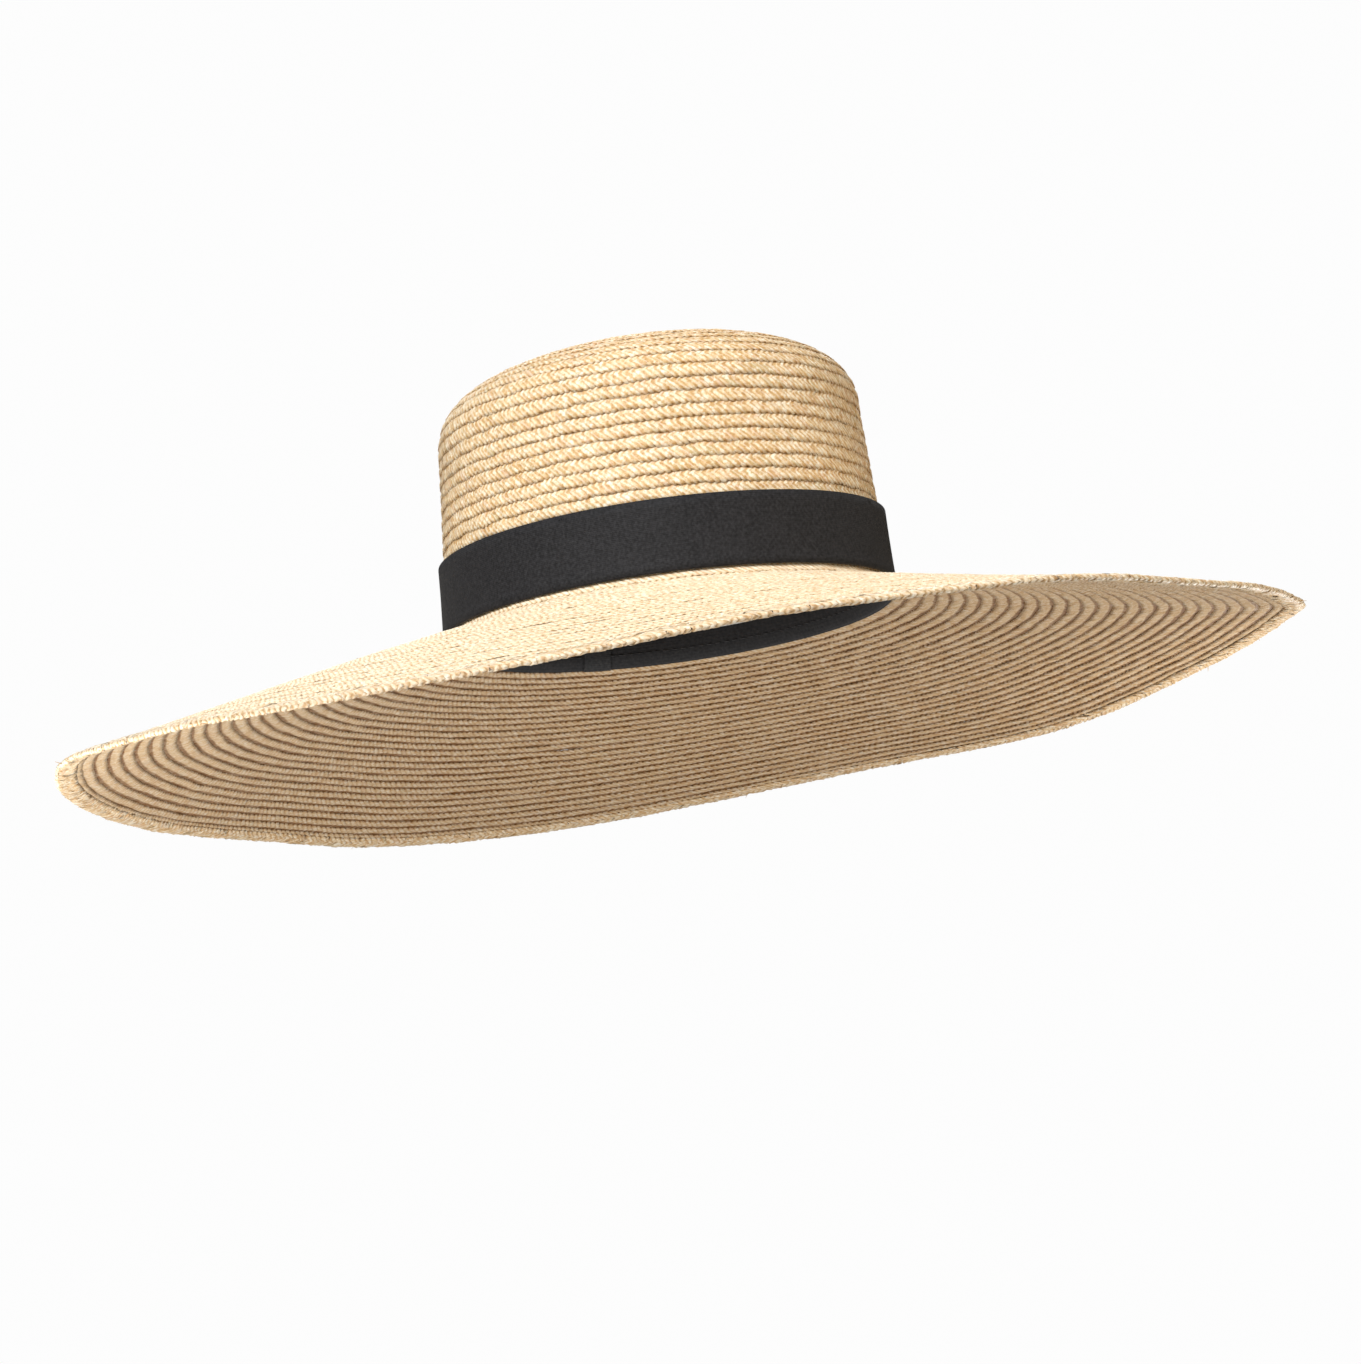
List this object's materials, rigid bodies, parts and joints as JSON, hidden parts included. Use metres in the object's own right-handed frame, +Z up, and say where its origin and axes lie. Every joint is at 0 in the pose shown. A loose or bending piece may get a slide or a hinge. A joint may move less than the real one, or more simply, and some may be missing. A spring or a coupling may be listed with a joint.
{
  "type": "straw sun hat",
  "caption": "Wide-brimmed sun hat sewn from plaited straw, with a rounded crown, a black grosgrain ribbon and an inner sweatband, for shading the head and face.",
  "frame": {"origin": "centre of the hat's bounding box at the lowest point of the brim's rim, the plane the hat rests on", "axes": "+Z up along the crown, -Y towards the front of the hat, +X towards the wearer's left"},
  "size_m": [0.477, 0.507, 0.1486],
  "materials": {
    "crown_tip": "satin sewn wheat-straw plait",
    "crown_side": "satin sewn wheat-straw plait",
    "brim": "satin sewn wheat-straw plait",
    "brim_edge": "folded wheat-straw plait",
    "brim_wire": "drawn wire",
    "hat_ribbon": "matt black grosgrain",
    "ribbon_keeper": "matt black grosgrain",
    "sweatband": "matt black cotton",
    "sweatband_join": "matt black tape",
    "size_label": "plain woven label",
    "sweatband_thread": "black sewing thread",
    "ribbon_tack_left": "black sewing thread",
    "ribbon_tack_back": "black sewing thread",
    "ribbon_tack_right": "black sewing thread",
    "ribbon_tack_front": "black sewing thread"
  },
  "bodies": {
    "root": {"crown_tip": "crown_tip", "crown_side": "crown_side", "brim": "brim", "brim_edge": "brim_edge", "brim_wire": "brim_wire", "hat_ribbon": "hat_ribbon", "ribbon_keeper": "ribbon_keeper", "sweatband": "sweatband", "sweatband_join": "sweatband_join", "size_label": "size_label", "sweatband_thread": "sweatband_thread", "ribbon_tack_left": "ribbon_tack_left", "ribbon_tack_back": "ribbon_tack_back", "ribbon_tack_right": "ribbon_tack_right", "ribbon_tack_front": "ribbon_tack_front"}
  },
  "joints": []
}
